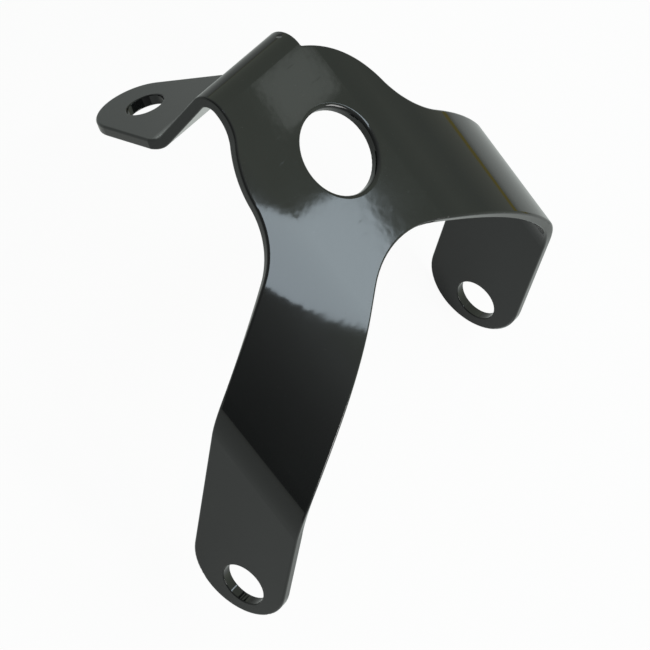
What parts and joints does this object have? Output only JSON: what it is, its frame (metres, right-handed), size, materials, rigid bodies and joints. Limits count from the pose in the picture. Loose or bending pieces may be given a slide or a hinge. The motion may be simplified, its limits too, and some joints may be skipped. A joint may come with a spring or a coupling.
{
  "type": "headlight mounting bracket",
  "caption": "Folded sheet-steel headlight bracket: bored hub, bowed legs that drop to facing ears, and a top arm folded down to a bored tab, in gloss black enamel.",
  "frame": {"origin": "centre of the hub bore, at mid thickness of the sheet", "axes": "+Z along the hub bore out of its front face, +Y towards the top arm, +X towards the longer of the two ears"},
  "size_m": [0.0929, 0.091, 0.0566],
  "materials": {
    "enamel": "gloss"
  },
  "bodies": {
    "root": {"bracket": "enamel"}
  },
  "joints": []
}
